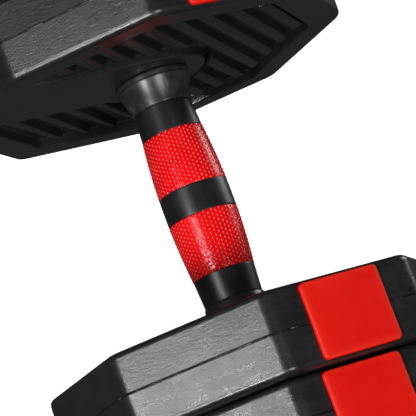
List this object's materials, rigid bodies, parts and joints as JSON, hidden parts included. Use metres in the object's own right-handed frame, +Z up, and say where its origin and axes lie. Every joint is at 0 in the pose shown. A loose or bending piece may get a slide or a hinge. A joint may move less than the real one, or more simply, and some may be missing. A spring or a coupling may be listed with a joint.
{
  "type": "adjustable dumbbell",
  "caption": "Adjustable dumbbell: barrel grip with red knurled pads, stacked octagonal filled plates with red rim tiles, and a screw-on nut at each end.",
  "frame": {"origin": "under the middle of the grip, on the plane that the bottom tiles of the large plates rest on", "axes": "+X along the bar towards the right stack, +Z up through the top tiles, +Y across"},
  "size_m": [0.44, 0.19, 0.1938],
  "materials": {
    "shell_plastic": "satin black moulded plastic with faint grain",
    "tile_plastic": "satin saturated red",
    "pad_rubber": "red rubber with small raised diamonds",
    "grip_rubber": "black satin rubber",
    "collar_plastic": "semi-gloss black plastic",
    "thread_plastic": "semi-gloss black plastic, threaded",
    "nut_plastic": "satin black moulded plastic",
    "washer_rubber": "dark grey rubber",
    "steel": "plain drawn tube",
    "filling": "cast cement mix"
  },
  "bodies": {
    "bar": {"bar_tube": "steel", "grip_sleeve": "grip_rubber", "red_pad_left": "pad_rubber", "collar_left": "collar_plastic", "thread_left": "thread_plastic", "end_cap_left": "nut_plastic", "red_pad_right": "pad_rubber", "collar_right": "collar_plastic", "thread_right": "thread_plastic", "end_cap_right": "nut_plastic"},
    "large_left": {"large_left_inner_shell": "shell_plastic", "large_left_outer_shell": "shell_plastic", "large_left_filling": "filling", "large_left_top_tile": "tile_plastic", "large_left_bottom_tile": "tile_plastic"},
    "middle_left": {"middle_left_inner_shell": "shell_plastic", "middle_left_outer_shell": "shell_plastic", "middle_left_filling": "filling", "middle_left_top_tile": "tile_plastic", "middle_left_bottom_tile": "tile_plastic"},
    "small_left": {"small_left_inner_shell": "shell_plastic", "small_left_outer_shell": "shell_plastic", "small_left_filling": "filling", "small_left_top_tile": "tile_plastic", "small_left_bottom_tile": "tile_plastic"},
    "washer_left": {"washer_left": "washer_rubber"},
    "nut_left": {"nut_left": "nut_plastic"},
    "large_right": {"large_right_inner_shell": "shell_plastic", "large_right_outer_shell": "shell_plastic", "large_right_filling": "filling", "large_right_top_tile": "tile_plastic", "large_right_bottom_tile": "tile_plastic"},
    "middle_right": {"middle_right_inner_shell": "shell_plastic", "middle_right_outer_shell": "shell_plastic", "middle_right_filling": "filling", "middle_right_top_tile": "tile_plastic", "middle_right_bottom_tile": "tile_plastic"},
    "small_right": {"small_right_inner_shell": "shell_plastic", "small_right_outer_shell": "shell_plastic", "small_right_filling": "filling", "small_right_top_tile": "tile_plastic", "small_right_bottom_tile": "tile_plastic"},
    "washer_right": {"washer_right": "washer_rubber"},
    "nut_right": {"nut_right": "nut_plastic"}
  },
  "joints": [
    {"name": "large_left_slide", "type": "slide", "parent": "bar", "child": "large_left", "axis": [-1, 0, 0], "range_m": [0, 0.155]},
    {"name": "middle_left_slide", "type": "slide", "parent": "large_left", "child": "middle_left", "axis": [-1, 0, 0], "range_m": [0, 0.115]},
    {"name": "small_left_slide", "type": "slide", "parent": "middle_left", "child": "small_left", "axis": [-1, 0, 0], "range_m": [0, 0.075]},
    {"name": "nut_left_travel", "type": "slide", "parent": "small_left", "child": "washer_left", "axis": [-1, 0, 0], "range_m": [0, 0.0362]},
    {"name": "nut_left_spin", "type": "hinge", "parent": "washer_left", "child": "nut_left", "pos_m": [-0.199, 0, 0.0969], "axis": [-1, 0, 0], "range_deg": [0, 1620]},
    {"name": "large_right_slide", "type": "slide", "parent": "bar", "child": "large_right", "axis": [1, 0, 0], "range_m": [0, 0.155]},
    {"name": "middle_right_slide", "type": "slide", "parent": "large_right", "child": "middle_right", "axis": [1, 0, 0], "range_m": [0, 0.115]},
    {"name": "small_right_slide", "type": "slide", "parent": "middle_right", "child": "small_right", "axis": [1, 0, 0], "range_m": [0, 0.075]},
    {"name": "nut_right_travel", "type": "slide", "parent": "small_right", "child": "washer_right", "axis": [1, 0, 0], "range_m": [0, 0.0362]},
    {"name": "nut_right_spin", "type": "hinge", "parent": "washer_right", "child": "nut_right", "pos_m": [0.199, 0, 0.0969], "axis": [1, 0, 0], "range_deg": [0, 1620]}
  ],
  "couplings": [
    {"joint": "nut_left_travel", "follows": "nut_left_spin", "m_per_rad": 0.0012732},
    {"joint": "nut_right_travel", "follows": "nut_right_spin", "m_per_rad": 0.0012732}
  ]
}
